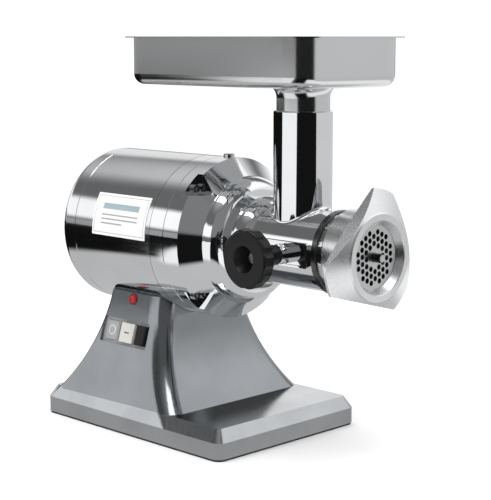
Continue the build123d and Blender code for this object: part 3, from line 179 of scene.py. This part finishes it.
# ---------------------------------------------------------------- materials
# metal: colour, roughness from and to, grain, stretch, depth of the marks, wear
# plastic: colour, roughness from and to, grain, depth of the skin, coat, shine
finish = {
    "cast_aluminium": metal(
        "satin_cast_aluminium", grey(0.29, 0.05), (0.13, 0.18), 260.0, ALONG_Z, 2 * MICRON, 0.10),
    "polished_aluminium": metal(
        "polished_aluminium", grey(0.80, 0.015), (0.03, 0.06), 90.0, EVEN, 2 * MICRON),
    "polished_shell": metal(
        "brushed_motor_shell", grey(0.76, 0.015), (0.07, 0.11), 500.0, ALONG_X, 0.6 * MICRON),
    "stainless_sheet": metal(
        "satin_stainless_sheet", grey(0.66, 0.012), (0.15, 0.18), 420.0, ALONG_X, 1.2 * MICRON, 0.02),
    "cast_tin": metal(
        "satin_tinned_cast_steel", grey(0.78, 0.012), (0.24, 0.31), 330.0, EVEN, 2 * MICRON),
    "ground_steel": metal("ground_steel", grey(0.60, 0.012), (0.24, 0.32), 600.0, ALONG_Z, 2 * MICRON),
    "head_steel": metal("polished_head_steel", grey(0.62, 0.01), (0.06, 0.12), 420.0, EVEN, 2 * MICRON),
    "zinc_sheet": metal("zinc_sheet", grey(0.48), (0.3, 0.45), 90.0, EVEN, 3 * MICRON, 0.2),
    "rubber": plastic("black_rubber", grey(0.02), (0.7, 0.85), 900.0, 20 * MICRON),
    "steel_fastener": metal("plated_steel", grey(0.55, 0.01), (0.15, 0.25), 300.0, EVEN, 2 * MICRON),
    "black_plastic": plastic(
        "black_knob_plastic", grey(0.006), (0.3, 0.4), 1500.0, 60 * MICRON, shine=0.22),
    "grey_plastic": plastic("grey_switch_plastic", grey(0.30, 0.02), (0.3, 0.4), 1500.0, 10 * MICRON),
    "white_plastic": plastic(
        "white_button_plastic", (0.52, 0.51, 0.48, 1), (0.25, 0.35), 1500.0, 10 * MICRON),
    "lamp_black": plastic(
        "lamp_bezel_plastic", (0.16, 0.002, 0.004, 1), (0.1, 0.2), 800.0, 10 * MICRON, coat=0.5),
    "lamp_red": plastic(
        "lamp_lens_plastic", (0.36, 0.004, 0.006, 1), (0.05, 0.12), 400.0, 10 * MICRON, coat=0.6),
    "spring_steel": metal("spring_steel", grey(0.5), (0.2, 0.3), 400.0, EVEN, 2 * MICRON),
    "label_foil": new_material("label_white_foil"),
    "contactor_case": plastic("contactor_case", grey(0.05), (0.4, 0.55), 900.0, 30 * MICRON),
    "capacitor_can": plastic("capacitor_can", grey(0.55), (0.3, 0.45), 700.0, 20 * MICRON),
    "electrical_steel": metal(
        "laminated_steel", grey(0.25), (0.3, 0.45), 2500.0, (1, 0.02, 0.02), 10 * MICRON),
    "copper_winding": metal(
        "enamelled_copper", (0.55, 0.2, 0.08, 1), (0.25, 0.4), 900.0, (1, 0.05, 0.05), 20 * MICRON),
    "bearing_steel": metal("bearing_steel", grey(0.6), (0.1, 0.2), 500.0, EVEN, 2 * MICRON),
    "shaft_steel": metal("turned_steel", grey(0.5), (0.2, 0.3), 900.0, TURNED, 3 * MICRON),
    "bracket_aluminium": metal("machined_aluminium", grey(0.6), (0.25, 0.35), 300.0, EVEN, 3 * MICRON),
    "fan_plastic": plastic("fan_plastic", grey(0.04), (0.4, 0.55), 900.0, 30 * MICRON),
}
for part in frame["record"]["subparts"]:
    mesh = nodes[part["node"]].data
    mesh.materials.clear()
    mesh.materials.append(finish[part["material_slot"]])


def second_finish(node, material, inside):
    """Gives the polygons of a node whose middle passes the test another material."""
    mesh = nodes[node].data
    mesh.materials.append(material)
    for polygon in mesh.polygons:
        if inside(polygon.center):
            polygon.material_index = 1


FOOT_PLATE_TOP = 35.2 * MM
FLANGE_REAR = 227.2 * MM
FLANGE_FRONT = 236.5 * MM
COLLAR_REAR = 18.9 * MM
SPINDLE_TIP_X = 262 * MM
SPINDLE_CORE_R = 4 * MM
plate_polish = metal(
    "polished_foot_plate", grey(0.46, 0.03), (0.12, 0.18), 260.0, (1, 1, 0.3), 2 * MICRON, 0.12)
turned_ring = metal("dark_turned_flange", grey(0.13), (0.22, 0.32), 500.0, TURNED, 3 * MICRON)
collar = metal("polished_shell_collar", grey(0.8, 0.015), (0.04, 0.07), 500.0, ALONG_X, 0.4 * MICRON)
blackened = metal("blackened_spindle", grey(0.05), (0.2, 0.3), 400.0, EVEN, 3 * MICRON)


def on_spindle_nose(place):
    """The spindle's nose in the hole plate, apart from the middle of its end."""
    return place.x > SPINDLE_TIP_X and math.hypot(place.y, place.z - AXIS_Z) > SPINDLE_CORE_R


second_finish("base_casting", plate_polish, lambda place: place.z < FOOT_PLATE_TOP)
second_finish("head_sleeve", turned_ring, lambda place: FLANGE_REAR < place.x < FLANGE_FRONT)
second_finish("motor_shell", collar, lambda place: place.x > COLLAR_REAR)
second_finish("knife_spindle", blackened, on_spindle_nose)

# ---------------------------------------------------------------- printed label
LABEL_X = (-84 * MM, 11 * MM)
LABEL_DEGREES = 31.0            # height of the label round the motor's axis
MARGIN = 0.16
RULE_HEIGHT = 0.035
n, shader = principled(finish["label_foil"])
place = n.add("ShaderNodeTexCoord")
split = n.add("ShaderNodeSeparateXYZ")
n.put(split.inputs[0], place.outputs["Object"])
from_rear = n.math("SUBTRACT", split.outputs[0], LABEL_X[0])
across_label = n.math("DIVIDE", from_rear, LABEL_X[1] - LABEL_X[0])
above_axis = n.math("SUBTRACT", split.outputs[2], AXIS_Z)
turn = n.math("ARCTAN2", above_axis, n.math("MULTIPLY", split.outputs[1], -1.0))
up_label = n.math("DIVIDE", n.math("DEGREES", turn), LABEL_DEGREES)


def printed(u_low, u_high, v_low, v_high):
    """1 inside a printed rectangle, whose sides are shares of the label's width and height."""
    inside = 1.0
    for value, low, high in ((across_label, u_low, u_high), (up_label, v_low, v_high)):
        between = n.math("MULTIPLY", n.math("GREATER_THAN", value, low), n.math("LESS_THAN", value, high))
        inside = n.math("MULTIPLY", between, inside)
    return inside


BAR_INK = (0.30, 0.38, 0.42, 1)
RULE_INK = (0.33, 0.33, 0.34, 1)
paint = n.mix(printed(MARGIN, 1 - MARGIN, 0.62, 0.76), grey(0.78), BAR_INK)
for v_low, u_high in ((0.47, 1 - MARGIN), (0.37, 1 - MARGIN), (0.27, 0.56)):
    paint = n.mix(printed(MARGIN, u_high, v_low, v_low + RULE_HEIGHT), paint, RULE_INK)
border_outside = printed(0.03, 0.97, 0.06, 0.94)
border_inside = printed(0.037, 0.963, 0.073, 0.927)
ink_edge = n.math("SUBTRACT", border_outside, border_inside)
paint = n.mix(ink_edge, paint, RULE_INK)
grain = n.noise(n.stretch(EVEN), 900.0, 3.0)
n.put(shader.inputs["Base Color"], paint)
n.put(shader.inputs["Roughness"], n.step(grain, 0.3, 0.7, 0.38, 0.5))
n.put(shader.inputs["Normal"], n.bump(grain, 0.3, 4 * MICRON))

# ---------------------------------------------------------------- marks on the two push buttons
BUTTON_TILT = math.radians(17)
BUTTON_OUT = Vector((0, -math.cos(BUTTON_TILT), math.sin(BUTTON_TILT)))
BUTTON_UP = Vector((0, math.sin(BUTTON_TILT), math.cos(BUTTON_TILT)))
PLATE_MIDDLE = Vector((-43, -81, 112.5)) * MM - BUTTON_OUT * 4.5 * MM
MARK_T = 0.2 * MM
MARK_ROOT = 0.05 * MM           # how deep a mark starts inside the button
MARK_WALL = 0.6                 # share of its thickness that is upright, below a slanted edge
MARK_TOP = 0.97                 # size of its top beside its outline


def mark(name, along, proud, outline, hole, body, material):
    """A thin raised mark on a button: an outline with an optional hole, in millimetres on its face."""
    rings = [[(u * MM, v * MM) for u, v in ring] for ring in (outline, hole) if ring]
    middle = PLATE_MIDDLE + Vector((along * MM, 0, 0)) + BUTTON_OUT * (proud * MM)
    shape = bmesh.new()
    layers = []
    for height, inset in ((-MARK_ROOT, 1.0), (MARK_T * MARK_WALL, 1.0), (MARK_T, MARK_TOP)):
        layers.append([
            [
                shape.verts.new(
                    middle + Vector((u * inset, 0, 0)) + BUTTON_UP * (v * inset) + BUTTON_OUT * height)
                for u, v in ring
            ]
            for ring in rings
        ])
    for low, high in zip(layers, layers[1:]):
        for below, above in zip(low, high):
            for index in range(len(below)):
                after = (index + 1) % len(below)
                shape.faces.new((below[index], below[after], above[after], above[index]))
    for layer in (layers[0], layers[-1]):
        if len(layer) == 1:
            shape.faces.new(layer[0])
        else:
            for index in range(len(layer[0])):
                after = (index + 1) % len(layer[0])
                shape.faces.new((layer[0][index], layer[0][after], layer[1][after], layer[1][index]))
    bmesh.ops.recalc_face_normals(shape, faces=shape.faces)
    data = bpy.data.meshes.new(name)
    shape.to_mesh(data)
    shape.free()
    data.materials.append(material)
    piece = bpy.data.objects.new(name, data)
    scene.collection.objects.link(piece)
    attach(piece, body)


def circle(radius, count=48):
    turns = [2 * math.pi * i / count for i in range(count)]
    return [(radius * math.cos(turn), radius * math.sin(turn)) for turn in turns]


white_ink = plastic("mark_white_ink", grey(0.62), (0.35, 0.45), 1500.0, 4 * MICRON)
dark_ink = plastic("mark_dark_ink", grey(0.06), (0.35, 0.45), 1500.0, 4 * MICRON)
BAR = [(-4.2, -0.7), (4.2, -0.7), (4.5, 0), (4.2, 0.7), (-4.2, 0.7), (-4.5, 0)]
mark("stop_mark", -26.5, 1.0, circle(6.0), circle(5.0), "stop", white_ink)
mark("start_mark", 4.5, 5.0, BAR, None, "start", dark_ink)

# ---------------------------------------------------------------- studio
CAMERA_AZIMUTH = math.radians(45)
CAMERA_PITCH = math.radians(8.65)
CAMERA_PLACE = (1.2298, -1.1481, 0.4642)
LENS = 101.2
SENSOR_WIDTH = 36.0

camera = bpy.data.objects.new("camera", bpy.data.cameras.new("camera"))
scene.collection.objects.link(camera)
camera.location = CAMERA_PLACE
back = Vector((
    math.sin(CAMERA_AZIMUTH) * math.cos(CAMERA_PITCH),
    -math.cos(CAMERA_AZIMUTH) * math.cos(CAMERA_PITCH),
    math.sin(CAMERA_PITCH),
))
camera.rotation_mode = "QUATERNION"
camera.rotation_quaternion = (-back).to_track_quat("-Z", "Y")
camera.data.lens = LENS
camera.data.sensor_width = SENSOR_WIDTH
camera.data.sensor_fit = "AUTO"
scene.camera = camera
scene.view_settings.view_transform = "Standard"

# level directions from the object towards the front view's camera and to that camera's right
TOWARD = (0.70711, -0.70711, 0)
RIGHT = (0.70711, 0.70711, 0)


def polar(n, vector):
    """Azimuth of a vector in degrees, counted from the front view's direction, and its elevation."""
    toward = n.add("ShaderNodeVectorMath", operation="DOT_PRODUCT")
    n.put(toward.inputs[0], vector)
    toward.inputs[1].default_value = TOWARD
    right = n.add("ShaderNodeVectorMath", operation="DOT_PRODUCT")
    n.put(right.inputs[0], vector)
    right.inputs[1].default_value = RIGHT
    split = n.add("ShaderNodeSeparateXYZ")
    n.put(split.inputs[0], vector)
    azimuth = n.math("ARCTAN2", right.outputs["Value"], toward.outputs["Value"])
    return n.math("DEGREES", azimuth), n.math("DEGREES", n.math("ARCSINE", split.outputs[2]))


def window(n, value, low, high, soft):
    """1 between low and high, falling to 0 over soft on each side."""
    rise = n.step(value, low - soft, low + soft)
    fall = n.step(value, high - soft, high + soft, 1.0, 0.0)
    return n.math("MULTIPLY", rise, fall)


BACKDROP = 1.12                 # what the camera and diffuse surfaces see
CEILING_START = 40
CEILING_END = 75
CEILING_LOW = 0.16
CEILING_HIGH = 0.60

# softboxes and dark flags, seen only in reflections, each laid over the ones before it:
# azimuth from and to, elevation from and to, brightness, and half the width of the soft edge, in degrees
STUDIO = (
    (-200, -125, 34, 54, 0.66, 11),
    (-138, -27, 6, 24, 1.25, 2.5),
    (-200, -88, -9, 4.5, 0.006, 1.5),
    (-200, -88, -3, 4.2, 0.40, 1.0),
    (-25, 50, -9, 5, 0.008, 2),
    (-25, 50, 6, 46, 0.24, 3),
    (52, 150, -9, 24, 0.75, 8),
    (60, 130, 20, 60, 1.3, 12),
    (150, 190, 3, 28, 1.2, 6),
    (-190, -158, 6, 28, 0.9, 4),
)
world = bpy.data.worlds.new("studio")
scene.world = world
world.use_nodes = True
n = Nodes(world.node_tree)
place = n.add("ShaderNodeTexCoord")
azimuth, elevation = polar(n, place.outputs["Generated"])
light = n.mix(n.step(elevation, CEILING_START, CEILING_END), grey(CEILING_LOW), grey(CEILING_HIGH))
for az_low, az_high, el_low, el_high, value, soft in STUDIO:
    across = window(n, azimuth, az_low, az_high, soft)
    upward = window(n, elevation, el_low, el_high, soft)
    light = n.mix(n.math("MULTIPLY", across, upward), light, grey(value))
ray = n.add("ShaderNodeLightPath")
plain_ray = n.math("MAXIMUM", ray.outputs["Is Camera Ray"], ray.outputs["Is Diffuse Ray"])
shown = n.mix(plain_ray, light, grey(BACKDROP))
glow = n.add("ShaderNodeBackground")
n.put(glow.inputs["Color"], shown)
out = n.add("ShaderNodeOutputWorld")
n.put(out.inputs["Surface"], glow.outputs[0])

# the floor is plain and pale; in reflections it is NEAR_FLOOR up to the edge of the table, and past it
# each sector has its own brightness: azimuth from and to in degrees, distance of the edge, brightness
FLOOR_HALF = 9
NEAR_FLOOR = 0.60
TABLE_EDGE = 0.06               # half the width of the edge's soft change
FLOOR_SECTORS = (
    (-200, -88, 0.58, 0.006),
    (-88, -25, 0.45, 1.1),
    (20, 200, 0.55, 1.15),
    (-25, 22, 0.50, 0.008),
    (20, 50, 1.40, 0.008),
    (50, 200, 1.00, 0.7),
)
mesh = bpy.data.meshes.new("floor")
corners = [(x * FLOOR_HALF, y * FLOOR_HALF, 0) for x, y in ((-1, -1), (1, -1), (1, 1), (-1, 1))]
mesh.from_pydata(corners, [], [(0, 1, 2, 3)])
floor = bpy.data.objects.new("floor", mesh)
scene.collection.objects.link(floor)
paper = new_material("floor_paper")
n = Nodes(paper.node_tree)
place = n.add("ShaderNodeNewGeometry")
azimuth, _ = polar(n, place.outputs["Position"])
span = n.add("ShaderNodeVectorMath", operation="LENGTH")
n.put(span.inputs[0], place.outputs["Position"])
sheen = grey(NEAR_FLOOR)
for az_low, az_high, start, value in FLOOR_SECTORS:
    outside = n.step(span.outputs["Value"], start - TABLE_EDGE, start + TABLE_EDGE)
    inside = window(n, azimuth, az_low, az_high, 1.0)
    sheen = n.mix(n.math("MULTIPLY", inside, outside), sheen, grey(value))
plain = n.add("ShaderNodeBsdfDiffuse")
n.put(plain.inputs["Color"], grey(0.92))
mirrored = n.add("ShaderNodeEmission")
n.put(mirrored.inputs["Color"], sheen)
ray = n.add("ShaderNodeLightPath")
either = n.add("ShaderNodeMixShader")
n.put(either.inputs[0], ray.outputs["Is Glossy Ray"])
n.put(either.inputs[1], plain.outputs[0])
n.put(either.inputs[2], mirrored.outputs[0])
out = n.add("ShaderNodeOutputMaterial")
n.put(out.inputs["Surface"], either.outputs[0])
mesh.materials.append(paper)

lamp = bpy.data.lights.new("top_softbox", "AREA")
lamp.shape = "RECTANGLE"
lamp.size = 1.6
lamp.size_y = 1.2
lamp.energy = 22
top = bpy.data.objects.new("top_softbox", lamp)
top.location = (0.1, -0.2, 1.9)
scene.collection.objects.link(top)
